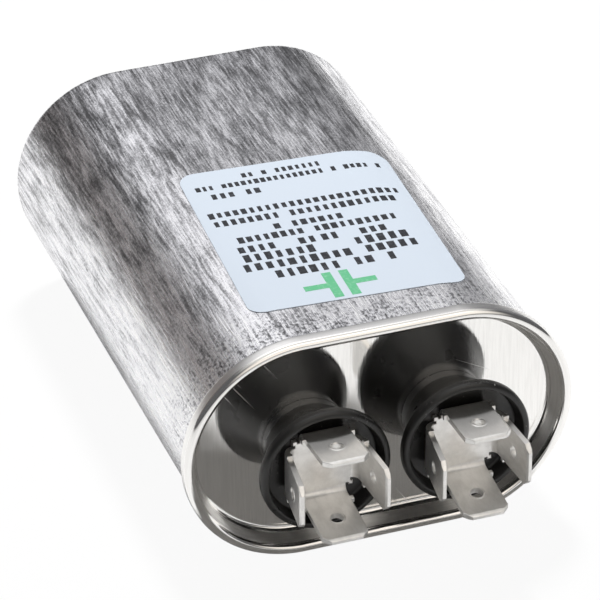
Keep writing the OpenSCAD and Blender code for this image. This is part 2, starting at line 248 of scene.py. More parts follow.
lamp_above = lamp("soft_box_above", azimuth=18, elevation=60, distance=0.9, size=0.16, watts=9.4)
lamp_above.visible_glossy = False
print("stage: floor, world with", len(PATCHES), "patches of light, and one lamp")

# %% [markdown]
# ## Sizes
# The frame tells where each piece sits. The sizes inside a piece are the maker's drawing
# sizes, written here once, so that what is rebuilt for its looks fits the solid it covers.

# %% Sizes
MM = 0.001
CAN_R, CENTRE_X = 15.75 * MM, 10.8 * MM        # round ends of the can, and where they are
WALL, SHEET = 0.4 * MM, 0.25 * MM              # sheet of the can and of the lid
CAN_L, PANEL_DEPTH, SEAM_H = 80.8 * MM, 3.2 * MM, 2.4 * MM
RIM_R = CAN_R + WALL + 2 * SHEET
PANEL_Z = CAN_L - PANEL_DEPTH
BASE_Y = cad_high.y
PANEL_Y = BASE_Y - PANEL_Z                     # the panel's face once the can lies down
PITCH = 19.731 * MM                            # between the two terminals
SAME_SPOT = 1e-7                               # points closer than this, in metres, are one
lay_down = Matrix.Translation((0, BASE_Y, RIM_R)) @ Matrix.Rotation(math.pi / 2, 4, "X")


def arc(x, z, radius, start, end, steps):
    """Points of an arc in a section, by angle in degrees."""
    turns = [math.radians(start + (end - start) * k / steps) for k in range(steps + 1)]
    return [(x + radius * math.cos(t), z + radius * math.sin(t)) for t in turns]


def rounded(corners, steps=5):
    """A section given as (x, z, fillet radius), with its corners rounded."""
    points = []
    for k, (x, z, radius) in enumerate(corners):
        here = Vector((x, z))
        back = (Vector(corners[k - 1][:2]) - here).normalized()
        on = (Vector(corners[(k + 1) % len(corners)][:2]) - here).normalized()
        if radius == 0:
            points.append((x, z))
            continue
        half = back.angle(on) / 2
        middle = here + (back + on).normalized() * radius / math.sin(half)
        first = here + back * radius / math.tan(half) - middle
        last = here + on * radius / math.tan(half) - middle
        turn = first.angle_signed(last)
        for n in range(steps + 1):
            angle = -turn * n / steps
            points.append((middle.x + first.x * math.cos(angle) - first.y * math.sin(angle),
                           middle.y + first.x * math.sin(angle) + first.y * math.cos(angle)))
    return points


print("can", [round(v / MM, 2) for v in (CAN_R, CAN_L, RIM_R)], "mm")

# %% [markdown]
# ## A section carried round an oval
# The lid's seam, and the moulded cups, are each one section carried round a closed path. A
# Geometry Nodes tree does it for all of them: it bends a circle into an oval by moving its
# halves apart, and sweeps the section along it. With the halves together it is a lathe.

# %% Sweep tree
def tree_with(name, inputs):
    tree = bpy.data.node_groups.new(name, "GeometryNodeTree")
    input_sockets(tree, [("Geometry", "Geometry", None)] + inputs)
    tree.interface.new_socket("Geometry", in_out="OUTPUT", socket_type="NodeSocketGeometry")
    return tree, add(tree, "NodeGroupInput").outputs, add(tree, "NodeGroupOutput")


def end_tree(tree, shape, finish_socket, sink):
    real = add(tree, "GeometryNodeRealizeInstances", {"Geometry": shape}).outputs[0]
    finished = add(tree, "GeometryNodeSetMaterial", {"Geometry": real, "Material": finish_socket})
    tree.links.new(finished.outputs[0], sink.inputs[0])


def where(tree):
    return add(tree, "GeometryNodeInputPosition").outputs[0]


GUIDE_R = 10 * MM                              # the circle that a section is carried along
sweep, given, sink = tree_with("sweep_round_oval", [("Guide Radius", "Float", GUIDE_R),
    ("Half Straight", "Float", 0.0), ("Steps", "Int", 182), ("Finish", "Material", None)])
circle = add(sweep, "GeometryNodeCurvePrimitiveCircle", {"Resolution": given["Steps"],
             "Radius": given["Guide Radius"]}).outputs[0]
side = math_node(sweep, "SIGN", split(sweep, where(sweep))[0])
apart = joined(sweep, math_node(sweep, "MULTIPLY", side, given["Half Straight"]))
oval = add(sweep, "GeometryNodeSetPosition", {"Geometry": circle, "Offset": apart}).outputs[0]
oval = add(sweep, "GeometryNodeSetCurveNormal", {"Curve": oval}, mode="Z_UP").outputs[0]
section = add(sweep, "GeometryNodeMeshToCurve", {"Mesh": given["Geometry"]}).outputs[0]
skin = add(sweep, "GeometryNodeCurveToMesh", {"Curve": oval, "Profile Curve": section}).outputs[0]
end_tree(sweep, skin, given["Finish"], sink)


def grow_from(name, seed, tree, **inputs):
    """Runs a Geometry Nodes tree on a mesh and keeps the result as a plain mesh."""
    holder = bpy.data.objects.new(name, seed)
    scene.collection.objects.link(holder)
    modifier = holder.modifiers.new("grow", "NODES")
    modifier.node_group = tree
    for item in tree.interface.items_tree:
        key = item.name.replace(" ", "_")
        if item.item_type == "SOCKET" and item.in_out == "INPUT" and key in inputs:
            modifier[item.identifier] = inputs[key]
    evaluated = holder.evaluated_get(bpy.context.evaluated_depsgraph_get())
    grown = bpy.data.meshes.new_from_object(evaluated)
    holder.modifiers.remove(modifier)
    holder.data = grown
    return holder


def carry_round(name, section, half_straight, material, closed=True):
    """Sweeps a section of (radius, height) round the oval or, with no straight, round an axis."""
    points = [(x - GUIDE_R, -z, 0) for x, z in section]
    edges = [(k, k + 1) for k in range(len(points) - 1)]
    edges += [(len(points) - 1, 0)] if closed else []
    line = bpy.data.meshes.new(name + "_section")
    line.from_pydata(points, edges, [])
    return grow_from(name, line, sweep, Half_Straight=half_straight, Finish=material)


def tidy(piece, place, sharp=35):
    """Merges, turns the faces outwards, puts the piece in its place and shades it smooth."""
    body = bmesh.new()
    body.from_mesh(piece.data)
    bmesh.ops.remove_doubles(body, verts=body.verts, dist=SAME_SPOT)
    bmesh.ops.recalc_face_normals(body, faces=body.faces)
    body.transform(place)
    body.to_mesh(piece.data)
    open_edges = sum(1 for e in body.edges if not e.is_manifold)
    volume = body.calc_volume(signed=True)
    body.free()
    piece.data.shade_smooth()
    piece.data.set_sharp_from_angle(angle=math.radians(sharp))
    print(piece.name, "faces", len(piece.data.polygons), "open edges", open_edges,
          "mm3", round(volume * 1e9, 1))


def stands_for(piece, node_name):
    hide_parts(node_name)
    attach(piece, "root")


print("sweep tree:", len(sweep.nodes), "nodes")

# %% [markdown]
# ## Shared finishes
# Some effects come up on several surfaces, so each is a shader group with named inputs:
# drawing streaks, long scratches, dust and rolled lines. A group only puts out masks. What a
# mask does to colour, roughness or relief is decided in each material.

# %% Group helper
def shader_group(name, inputs, outputs):
    group = bpy.data.node_groups.new(name, "ShaderNodeTree")
    input_sockets(group, inputs)
    for label in outputs:
        group.interface.new_socket(label, in_out="OUTPUT", socket_type="NodeSocketFloat")
    return group, add(group, "NodeGroupInput").outputs, add(group, "NodeGroupOutput").inputs


def use(tree, group, **inputs):
    """Places a group in a tree with its own values and gives its outputs."""
    node = tree.nodes.new("ShaderNodeGroup")
    node.node_tree = group
    for name, value in inputs.items():
        socket = node.inputs[name.replace("_", " ")]
        if isinstance(value, bpy.types.NodeSocket):
            tree.links.new(value, socket)
        else:
            socket.default_value = value
    return node.outputs


# %% Drawing streaks
streaks, given, sink = shader_group("drawing_streaks",
    [("Position", "Vector", None), ("Stretch", "Vector", (1, 0.2, 1)), ("Scale", "Float", 1500.0),
     ("Detail", "Float", 6.0)], ["Streaks", "Flecks"])
stretched = vector_node(streaks, "MULTIPLY", given["Position"], given["Stretch"])
coarse = noise(streaks, stretched, given["Scale"], given["Detail"], 0.65)
finer = noise(streaks, stretched, math_node(streaks, "MULTIPLY", given["Scale"], 2.3), 4.0, 0.6)
streaks.links.new(spread(streaks, coarse, 0.30, 0.70), sink["Streaks"])
streaks.links.new(spread(streaks, finer, 0.52, 0.72), sink["Flecks"])

# %% Long scratches
scratches, given, sink = shader_group("long_scratches",
    [("Position", "Vector", None), ("Angle", "Float", 0.9), ("Length", "Float", 60 * MM),
     ("Spacing", "Float", 0.9 * MM), ("Chance", "Float", 0.5)], ["Scratches"])
# The plane is cut into long narrow cells, each with one needle, and some needles are kept
turned = split(scratches, rotated(scratches, given["Position"], (0, 1, 0), given["Angle"]))
drift = math_node(scratches, "MULTIPLY", noise(scratches, given["Position"], 70.0), 0.6 * MM)
across = math_node(scratches, "ADD", turned[2], drift)
cell = joined(scratches, math_node(scratches, "DIVIDE", turned[0], given["Length"]),
              math_node(scratches, "DIVIDE", across, given["Spacing"]))
needles = add(scratches, "ShaderNodeTexVoronoi", {"Vector": cell, "Scale": 1.0},
              voronoi_dimensions="2D").outputs
line = add(scratches, "ShaderNodeMapRange", {"Value": needles["Distance"], "From Min": 0.02,
           "From Max": 0.07, "To Min": 1.0, "To Max": 0.0}).outputs[0]
pick = add(scratches, "ShaderNodeSeparateColor", {0: needles["Color"]}).outputs[0]
chosen = math_node(scratches, "LESS_THAN", pick, given["Chance"])
scratches.links.new(math_node(scratches, "MULTIPLY", line, chosen), sink["Scratches"])

# %% Dust
dust, given, sink = shader_group("dust",
    [("Position", "Vector", None), ("Scale", "Float", 1800.0), ("Amount", "Float", 0.5)], ["Dust"])
specks = spread(dust, noise(dust, given["Position"], given["Scale"]), 0.66, 0.74)
clouds = spread(dust, noise(dust, given["Position"], 160.0), 0.48, 0.62)
both = math_node(dust, "MULTIPLY", specks, clouds)
dust.links.new(math_node(dust, "MULTIPLY", both, given["Amount"]), sink["Dust"])
print("shader groups:", [g.name for g in (streaks, scratches, dust)])

# %% Material helper
def finish(name, colour, **sockets):
    """A material with its Principled shader, its tree and the position on the object."""
    material = bpy.data.materials.new(name)
    material.use_nodes = True
    tree = material.node_tree
    shader = tree.nodes["Principled BSDF"]
    shader.inputs["Base Color"].default_value = (*colour, 1)
    for key, value in sockets.items():
        shader.inputs[key.replace("_", " ")].default_value = value
    position = add(tree, "ShaderNodeTexCoord").outputs["Object"]
    return material, tree, shader, position


def relief(tree, shader, height, strength, distance):
    """Relief too small to model; the distance is its height in metres."""
    bump = add(tree, "ShaderNodeBump", {"Height": height, "Strength": strength, "Distance": distance})
    tree.links.new(bump.outputs[0], shader.inputs["Normal"])


def wear(node_name, material):
    mesh = nodes[node_name].data
    mesh.materials.clear()
    mesh.materials.append(material)


# %% [markdown]
# ## Drawn aluminium
# A punch pushes the can out of a flat disc in one stroke and the die drags its skin along.
# That leaves fine dark and light streaks along the can, clouds between them, and a mouth that
# is crumpled into specks where it was held. One streak group at five sizes is enough: their
# sum, with a slow change along the can, goes through one ramp of greys. The skin is a rough
# mirror, so most of its light and shade still comes from the room.

# %% Drawn aluminium
def tone_steps(tree, value, steps):
    """A ramp of greys or colours: each step is a place from 0 to 1 and its colour."""
    ramp = add(tree, "ShaderNodeValToRGB", {0: value})
    marks = ramp.color_ramp.elements
    while len(marks) < len(steps):
        marks.new(0.5)
    for mark, (place, colour) in zip(marks, steps):
        mark.position, mark.color = place, (*colour, 1)
    return ramp.outputs[0]


aluminium, tree, shader, position = finish("drawn_aluminium", (0.8, 0.8, 0.8), Metallic=0.8,
                                           Roughness=0.3)
across, place = split(tree, position)[:2]
along = spread(tree, place, -34 * MM, 46 * MM, 0.57, 0.28)      # paler at the mouth, darker at the base
at_rim = spread(tree, place, -18 * MM, -30 * MM)                # the mouth is speckled, not streaked
# Painted highlight: both round sides of the can get a paler tone, standing in for the strong light that
# burns them white
painted_side_highlight = math_node(tree, "ADD", spread(tree, across, -22.8 * MM, -25.2 * MM),
                      spread(tree, across, 16.5 * MM, 20.5 * MM))
along = math_node(tree, "ADD", along, math_node(tree, "MULTIPLY", painted_side_highlight, 0.20))    # painted highlight: the round sides made paler
streak = {}                         # size: stretch along the can, scale, detail, weight in the sum
for size, stretch, scale, detail, weight in (
        ("fine", 0.07, 3300.0, 2.0, 0.36), ("middle", 0.09, 1250.0, 3.0, 0.34),
        ("grain", 0.55, 4200.0, 2.0, 0.26), ("cloud", 0.30, 330.0, 6.0, 0.26),
        ("speckle", 0.8, 2300.0, 3.0, math_node(tree, "MULTIPLY", at_rim, 0.75))):
    streak[size] = use(tree, streaks, Position=position, Stretch=(1, stretch, 1), Scale=scale,
                       Detail=detail)["Streaks"]
    swing = math_node(tree, "MULTIPLY", math_node(tree, "SUBTRACT", streak[size], 0.5), weight)
    along = math_node(tree, "ADD", along, swing)
along = math_node(tree, "SUBTRACT", along, math_node(tree, "MULTIPLY", at_rim, 0.04))
skin_tone = tone_steps(tree, along, [(0.0, (0.12, 0.12, 0.125)), (0.25, (0.34, 0.34, 0.355)),
                       (0.5, (0.72, 0.72, 0.745)), (0.68, (0.95, 0.95, 0.98)), (0.9, (1.0, 1.0, 1.0))])
tree.links.new(skin_tone, shader.inputs["Base Color"])
tree.links.new(spread(tree, streak["middle"], 0, 1, 0.34, 0.24), shader.inputs["Roughness"])
relief(tree, shader, streak["fine"], 0.4, 0.04 * MM)
wear("can", aluminium)

# %% [markdown]
# ## Bright tin plate
# The lid is tinned steel. Its flat panel keeps the straight grain of the sheet, while the wall
# and the seam were turned under a chuck and rollers and have lines that run round the oval.
# The rolled lines come from noise on two numbers only, the distance from the oval's middle line
# and the depth, so they can't run any other way. The panel is smooth enough to show the cups.

# %% Rolled lines
def past_straight(tree, across, half_straight):
    """How far a point lies beyond the straight part of the oval."""
    past = math_node(tree, "SUBTRACT", math_node(tree, "ABSOLUTE", across), half_straight)
    return math_node(tree, "MAXIMUM", past, 0.0)


def length_of(tree, x, y):
    return add(tree, "ShaderNodeVectorMath", {0: joined(tree, x, y)}, operation="LENGTH").outputs["Value"]


rolled, given, sink = shader_group("rolled_lines",
    [("Position", "Vector", None), ("Half Straight", "Float", CENTRE_X), ("Axis Height", "Float", RIM_R),
     ("Scale", "Float", 3000.0)], ["Lines"])
spot = split(rolled, given["Position"])
out = past_straight(rolled, spot[0], given["Half Straight"])
up = math_node(rolled, "SUBTRACT", spot[2], given["Axis Height"])
ring = joined(rolled, length_of(rolled, out, up), spot[1])
slow = scaled(rolled, given["Position"], 0.03)      # lets the lines fade in and out on their way
lines = noise(rolled, vector_node(rolled, "ADD", ring, slow), given["Scale"], 3.0)
rolled.links.new(spread(rolled, lines, 0.34, 0.66), sink["Lines"])
print("rolled lines:", len(rolled.nodes), "nodes")

# %% Tin plate of the lid
tinplate, tree, shader, position = finish("bright_tinplate", (0.95, 0.94, 0.92), Metallic=0.98,
                                          Roughness=0.07)
depth = split(tree, position)[1]
on_panel = spread(tree, depth, PANEL_Y - 0.15 * MM, PANEL_Y - 0.05 * MM)
off_panel = math_node(tree, "SUBTRACT", 1.0, on_panel)
turned_lines = use(tree, rolled, Position=position, Scale=3600.0)["Lines"]
sheet_grain = use(tree, streaks, Position=position, Stretch=(1, 1, 0.05), Scale=3800.0,
                  Detail=2.0)["Streaks"]
lines = math_node(tree, "ADD", math_node(tree, "MULTIPLY", sheet_grain, on_panel),
                  math_node(tree, "MULTIPLY", turned_lines, off_panel))
steep = use(tree, scratches, Position=position, Angle=-0.95)["Scratches"]
slanting = use(tree, scratches, Position=position, Angle=-0.5, Spacing=0.7 * MM, Chance=0.45)["Scratches"]
marks = math_node(tree, "MULTIPLY", math_node(tree, "MAXIMUM", steep, slanting), on_panel)
tree.links.new(blend_colour(tree, lines, (0.92, 0.91, 0.89, 1), (0.99, 0.98, 0.96, 1)),
               shader.inputs["Base Color"])
chucked = math_node(tree, "MULTIPLY", spread(tree, depth, PANEL_Y - 0.25 * MM, PANEL_Y - 0.75 * MM),
                    spread(tree, depth, PANEL_Y - 2.85 * MM, PANEL_Y - 2.25 * MM))  # wall the chuck rubbed
rough = spread(tree, lines, 0, 1, 0.09, 0.05)
for mask, more in ((chucked, 0.26), (marks, 0.45)):
    rough = math_node(tree, "ADD", rough, math_node(tree, "MULTIPLY", mask, more))
tree.links.new(rough, shader.inputs["Roughness"])
relief(tree, shader, lines, 0.05, 0.02 * MM)

# %% [markdown]
# ## Moulding, terminals and label
# The cups are black resin, glossy from the mould, with dust on them. The terminals are stamped
# from tinned brass: satin, with a brown stain where each plate was welded to its rivet. The
# label is printed film with a slight gloss. All three are quiet finishes, in which a little
# variation of roughness does more than any drawn pattern.

# %% Black moulding of the cups
resin, grey_dust = (0.020, 0.0195, 0.019), (0.35, 0.35, 0.34)
moulding, tree, shader, position = finish("black_moulding", resin, Roughness=0.3)
specks = use(tree, dust, Position=position, Scale=2600.0, Amount=0.7)["Dust"]
tree.links.new(blend_colour(tree, specks, (*resin, 1), (*grey_dust, 1)), shader.inputs["Base Color"])
cast = noise(tree, position, 240.0, 4.0)
dusty = math_node(tree, "MULTIPLY", specks, 0.4)
tree.links.new(math_node(tree, "ADD", spread(tree, cast, 0.3, 0.7, 0.26, 0.38), dusty),
               shader.inputs["Roughness"])
relief(tree, shader, cast, 0.1, 0.2 * MM)

# %% Satin tin of the terminals
satin_tin, tree, shader, position = finish("satin_tin", (0.88, 0.87, 0.85), Metallic=0.82, Roughness=0.35)
rub = use(tree, streaks, Position=position, Stretch=(1, 0.5, 1), Scale=900.0, Detail=3.0)
spot = split(tree, position)
aside = math_node(tree, "SUBTRACT", math_node(tree, "ABSOLUTE", spot[0]), PITCH / 2)
from_rivet = length_of(tree, aside, math_node(tree, "SUBTRACT", spot[2], RIM_R))
uneven = math_node(tree, "MULTIPLY", noise(tree, position, 420.0, 5.0), 1.8 * MM)
weld = spread(tree, math_node(tree, "ADD", from_rivet, uneven), 2.2 * MM, 3.8 * MM, 0.60, 0.0)
on_plate = spread(tree, spot[1], PANEL_Y - 7.55 * MM, PANEL_Y - 6.75 * MM)
tone = blend_colour(tree, rub["Streaks"], (0.82, 0.81, 0.79, 1), (0.92, 0.91, 0.89, 1))
tone = blend_colour(tree, math_node(tree, "MULTIPLY", weld, on_plate), tone, (0.46, 0.36, 0.27, 1))
tree.links.new(tone, shader.inputs["Base Color"])
tree.links.new(spread(tree, rub["Streaks"], 0, 1, 0.38, 0.33), shader.inputs["Roughness"])
relief(tree, shader, rub["Flecks"], 0.02, 0.02 * MM)

# %% Label film
film, tree, shader, position = finish("label_film", (0.64, 0.71, 0.80), Roughness=0.38)
mottle = noise(tree, position, 900.0, 3.0)
tree.links.new(spread(tree, mottle, 0.3, 0.7, 0.36, 0.48), shader.inputs["Roughness"])
wear("label", film)

# %% [markdown]
# ## Pieces inside
# Nothing inside shows until somebody takes the can off, so each material gets one honest
# colour and one grain, from one helper that is called with the rows of a table.

# %% Pieces inside
def grained(name, colour, dark, grain, metallic, roughness):
    """One colour that noise of a given scale takes down to a darker one."""
    material, tree, shader, position = finish(name, colour, Metallic=metallic, Roughness=roughness)
    mask = spread(tree, noise(tree, position, grain, 4.0), 0.35, 0.65)
    tree.links.new(blend_colour(tree, mask, (*[c * dark for c in colour], 1), (*colour, 1)),
                   shader.inputs["Base Color"])
    return material


# material, colour, share of it left in the dark grain, scale of the grain, metallic, roughness, pieces
INSIDE = [
    ("sealing_compound", (0.16, 0.18, 0.12), 0.8, 900, 0.0, 0.8, ["seam_compound"]),
    ("rivet_tin", (0.72, 0.72, 0.71), 0.8, 500, 1.0, 0.3, ["rivet_left", "rivet_right"]),
    ("gasket_rubber", (0.03, 0.03, 0.03), 0.7, 1200, 0.0, 0.7, ["gasket_left", "gasket_right"]),
    ("fibre_washer", (0.30, 0.13, 0.06), 0.7, 1500, 0.0, 0.65, ["inner_washer_left", "inner_washer_right"]),
    ("tinned_brass", (0.75, 0.62, 0.35), 0.85, 700, 1.0, 0.35,
     ["lug_left", "lug_right", "lead_left", "lead_right"]),
    ("fibre_board", (0.42, 0.26, 0.13), 0.8, 1300, 0.0, 0.75, ["interrupter_plate"]),
    ("pressboard", (0.55, 0.42, 0.24), 0.85, 1000, 0.0, 0.85, ["insulating_sleeve", "base_pad"]),
    ("wound_film", (0.62, 0.62, 0.60), 0.85, 300, 0.6, 0.3, ["winding"]),
    ("clear_wrap", (0.70, 0.64, 0.42), 0.9, 400, 0.0, 0.3, ["winding_wrap"]),
    ("moulded_core", (0.75, 0.75, 0.72), 0.9, 500, 0.0, 0.5, ["winding_core"]),
    ("sprayed_zinc", (0.40, 0.40, 0.41), 0.6, 2500, 0.8, 0.75, ["end_spray_front", "end_spray_back"])]
for *values, pieces in INSIDE:
    material = grained(*values)
    for piece in pieces:
        wear(piece, material)
print("finishes inside:", len(INSIDE))

# %% [markdown]
# ## Lid
# The lid is one steel pressing. From the middle outwards: the flat panel with two holes, a
# round bend, a wall leaning out to the rim, and the rim itself, rolled over the can's edge
# twice. The ring is a swept section. The panel is filled between its edge and its holes.

# %% Lid section
crest_r = (3 * SHEET + 2 * WALL) / 2            # the seam holds three sheets of lid, two of can
crest_x, crest_z = RIM_R - crest_r, CAN_L - crest_r
turn_r = SHEET + WALL / 2
turn_x, turn_z = RIM_R - turn_r, CAN_L - SEAM_H + turn_r
chuck_r = CAN_R - WALL - SHEET
panel_r, lean = 1.0 * MM, 17.0                  # bend at the panel's edge, the wall's lean in degrees
lean_turn = math.radians(lean)
bend_z = PANEL_Z + panel_r
bend_x = (chuck_r - panel_r * math.cos(lean_turn)
          - math.tan(lean_turn) * (crest_z - bend_z + panel_r * math.sin(lean_turn)))
front = (arc(bend_x, bend_z, panel_r, -90, -lean, 12) + arc(crest_x, crest_z, crest_r, 180, 0, 20)
         + arc(turn_x, turn_z, turn_r, 0, -180, 12) + [(CAN_R, crest_z)])
back = ([(CAN_R + SHEET, crest_z)] + arc(turn_x, turn_z, turn_r - SHEET, -180, 0, 8)
        + arc(crest_x, crest_z, crest_r - SHEET, 0, 180, 12)
        + arc(bend_x, bend_z, panel_r + SHEET, -lean, -90, 8))
rim = carry_round("lid_shell", front + back, CENTRE_X, tinplate, closed=False)

# %% Lid panel
def circle_points(x, y, radius, steps):
    turns = [2 * math.pi * k / steps for k in range(steps)]
    return [(x + radius * math.cos(t), y + radius * math.sin(t)) for t in turns]


STEM_R, HOLE_STEPS = 3.45 * MM, 64
body = bmesh.new()
body.from_mesh(rim.data)
bmesh.ops.remove_doubles(body, verts=body.verts, dist=SAME_SPOT)
holes = []
for level in (PANEL_Z, PANEL_Z - SHEET):
    edge = [e for e in body.edges
            if e.is_boundary and all(abs(v.co.z - level) < 10 * SAME_SPOT for v in e.verts)]
    rings = []
    for side in (-1, 1):
        ring = [body.verts.new((x, y, level))
                for x, y in circle_points(side * PITCH / 2, 0, STEM_R, HOLE_STEPS)]
        rings.append(ring)
        edge += [body.edges.new((ring[k - 1], ring[k])) for k in range(HOLE_STEPS)]
    bmesh.ops.triangle_fill(body, use_beauty=True, edges=edge, normal=(0, 0, 1))
    holes.append(rings)
for upper, lower in zip(*holes):
    for k in range(HOLE_STEPS):
        body.faces.new((upper[k - 1], upper[k], lower[k], lower[k - 1]))
body.to_mesh(rim.data)
body.free()
tidy(rim, lay_down)
stands_for(rim, "lid")

# %% [markdown]
# ## Cups
# Each cup is turned about its terminal's axis: a stem through the lid, a neck, a hollow
# flaring into a cone, a stepped lip and the dish in which the terminal stands. Moulded
# edges are never sharp, so each corner of the section has its own small radius.

# %% Cups
CUP_H, DISH_Z = 8.9, 6.5                        # in mm over the panel, the lip's top and the dish


def cup_section():
    """Corners in mm: distance from the terminal's axis, height over the panel, fillet radius."""
    neck, neck_h, hollow, lip_z = 5.9, 1.0, 2.0, 7.25
    lip, mouth, dish_r, step = 9.016, 8.066, 7.716, 0.3
    cone = math.atan2(lip - step - neck, lip_z - neck_h)
    stem = [(1.65, -1.45, 0), (3.4, -1.45, 0), (3.4, 0, 0)]
    groove = [(3.45, 0, 0), (3.45, 0.5, 0), (4.8, 0.5, 0), (4.8, 0, 0), (neck, 0, 0.1)]
    flare = [(neck + hollow * (1 - math.cos(cone * k / 6)), neck_h + hollow * math.sin(cone * k / 6), 0)
             for k in range(7)]
    rim = [(lip - step, lip_z, 0.12), (lip, lip_z + step, 0.12), (lip, CUP_H, 0.6), (mouth, CUP_H, 0.22)]
    dish = [(dish_r, DISH_Z, 0.35), (3.05, DISH_Z, 0.05), (3.05, DISH_Z - 0.8, 0), (1.65, DISH_Z - 0.8, 0)]
    return rounded([(x * MM, z * MM, r * MM) for x, z, r in stem + groove + flare + rim + dish])


for side, name in ((-1, "left"), (1, "right")):
    cup = carry_round("cup_" + name, cup_section(), 0.0, moulding)
    tidy(cup, lay_down @ Matrix.Translation((side * PITCH / 2, 0, PANEL_Z)), sharp=28)
    stands_for(cup, "insulator_" + name)

# %% [markdown]
# ## Terminals
# A terminal is stamped flat from one sheet, a square with four tabs, and then its tabs are
# bent up. It is made here in the same order. The flat tab has its hole with the burr that
# the punch leaves, small stops on its edges, cut corners and a bevelled tip. A Geometry
# Nodes tree sets four of them round the square and bends each by its own angle.

# %% Flat tab
BLADE_W, BLADE_T, BLADE_H = 6.35 * MM, 0.8 * MM, 10.2 * MM
BEND_R, BEND_X = 0.9 * MM, 3.875 * MM
BEND_RUN = (BEND_R + BLADE_T / 2) * math.pi / 2     # sheet used up by a square bend
STRAIGHT = BLADE_H - BLADE_T - BEND_R
TIP = BEND_X + BEND_RUN + STRAIGHT
HOLE_X = TIP - 4.1 * MM
half, ear, tip_cut = BLADE_W / 2, 4.175 * MM, 1.0 * MM  # half the blade, half the square, cut tip
notch, stop_h, stop_l = 0.4 * MM, 0.45 * MM, 0.6 * MM   # beside the bend's line; the stop's size
stop = BEND_X + BEND_RUN + 0.7 * MM                     # where the small stop begins
lower_side = [(ear, -ear), (ear, -half - notch), (BEND_X, -half - notch), (BEND_X, -half),
              (stop, -half), (stop, -half - stop_h), (stop + stop_l, -half - stop_h),
              (stop + stop_l, -half), (TIP - tip_cut, -half), (TIP, -half + tip_cut)]
outline = [Vector(p) for p in lower_side + [(x, -y) for x, y in reversed(lower_side)]]


def drawn_in(inset):
    """The outline with its edge drawn in; its two ends slide along the square's diagonals."""
    moved = [outline[0] + Vector((-inset, inset))]
    for back, here, on in zip(outline, outline[1:], outline[2:]):
        left = [(b - a).normalized().orthogonal() for a, b in ((back, here), (here, on))]
        inward = (left[0] + left[1]).normalized()
        moved.append(here + inward * inset / max(0.5, inward.dot(left[0])))
    return moved + [outline[-1] + Vector((-inset, -inset))]


EDGE, PUNCH_R, PUNCH_STEPS = 0.09 * MM, 0.825 * MM, 40
edge_steps = [(EDGE * (1 - math.cos(t)), EDGE * (1 - math.sin(t))) for t in (0, math.pi / 4, math.pi / 2)]
layers = edge_steps + [(BLADE_T - z, inset) for z, inset in reversed(edge_steps)]
burr = [(0.00, 0.34), (0.05, 0.20), (0.04, 0.08), (-0.12, 0.0)]    # height over the face, past the hole
punch = ([(-h * MM, PUNCH_R + out * MM) for h, out in burr]
         + [(BLADE_T + h * MM, PUNCH_R + out * MM) for h, out in reversed(burr)])

tab = bmesh.new()
rows = [[tab.verts.new((p.x, p.y, z)) for p in drawn_in(inset)] for z, inset in layers]
rings = [[tab.verts.new((x, y, z)) for x, y in circle_points(HOLE_X, 0, r, PUNCH_STEPS)] for z, r in punch]
for low, high in zip(rows, rows[1:]):
    for k in range(len(low) - 1):
        tab.faces.new((low[k], low[k + 1], high[k + 1], high[k]))
for low, high in zip(rings, rings[1:]):
    for k in range(PUNCH_STEPS):
        tab.faces.new((low[k], low[k - 1], high[k - 1], high[k]))
for row, ring, z in ((rows[0], rings[0], 0.0), (rows[-1], rings[-1], BLADE_T)):
    middle = tab.verts.new((0, 0, z))
    around = [middle] + row
    loop = [tab.edges.get(pair) or tab.edges.new(pair) for pair in zip(around, around[1:] + around[:1])]
    loop += [tab.edges.get((ring[k - 1], ring[k])) for k in range(PUNCH_STEPS)]
    bmesh.ops.triangle_fill(tab, use_beauty=True, edges=loop, normal=(0, 0, 1 if z else -1))

# Lines across the tab, so that it can bend between them and its tip can be pressed
BEND_STEPS, BESIDE, PRESSED = 12, 0.12 * MM, 0.48 * MM
lines_across = ([BEND_X - BESIDE] + [BEND_X + BEND_RUN * k / BEND_STEPS for k in range(BEND_STEPS + 1)]
                + [BEND_X + BEND_RUN + BESIDE, TIP - PRESSED])
for x in lines_across:
    bmesh.ops.bisect_plane(tab, geom=tab.verts[:] + tab.edges[:] + tab.faces[:], dist=1e-8,
                           plane_co=(x, 0, 0), plane_no=(1, 0, 0))
THINNER = 0.4                                      # share of the sheet pressed away at the tip
for v in tab.verts:
    press = max(0.0, (v.co.x - TIP + PRESSED) / PRESSED)
    v.co.z = BLADE_T / 2 + (v.co.z - BLADE_T / 2) * (1 - THINNER * press)
flat = bpy.data.meshes.new("flat_tab")
tab.to_mesh(flat)
tab.free()
print("flat tab:", len(flat.polygons), "faces,", round(TIP / MM, 2), "mm from the middle to the tip")

# %% Folding tree
LEANS = ["Lean Right", "Lean Upper", "Lean Left", "Lean Lower"]     # degrees off upright
fold, given, sink = tree_with("fold_terminal", [(lean, "Float", 3.0) for lean in LEANS] + [
    ("Bend Line", "Float", BEND_X), ("Bend Radius", "Float", BEND_R), ("Sheet", "Float", BLADE_T),
    ("Height", "Float", BLADE_H), ("Half Width", "Float", BLADE_W / 2 + 0.1 * MM),
    ("Corner", "Float", 4.2 * MM), ("Finish", "Material", None)])


def sums(operation, a, b=0.0):
    return math_node(fold, operation, a, b)


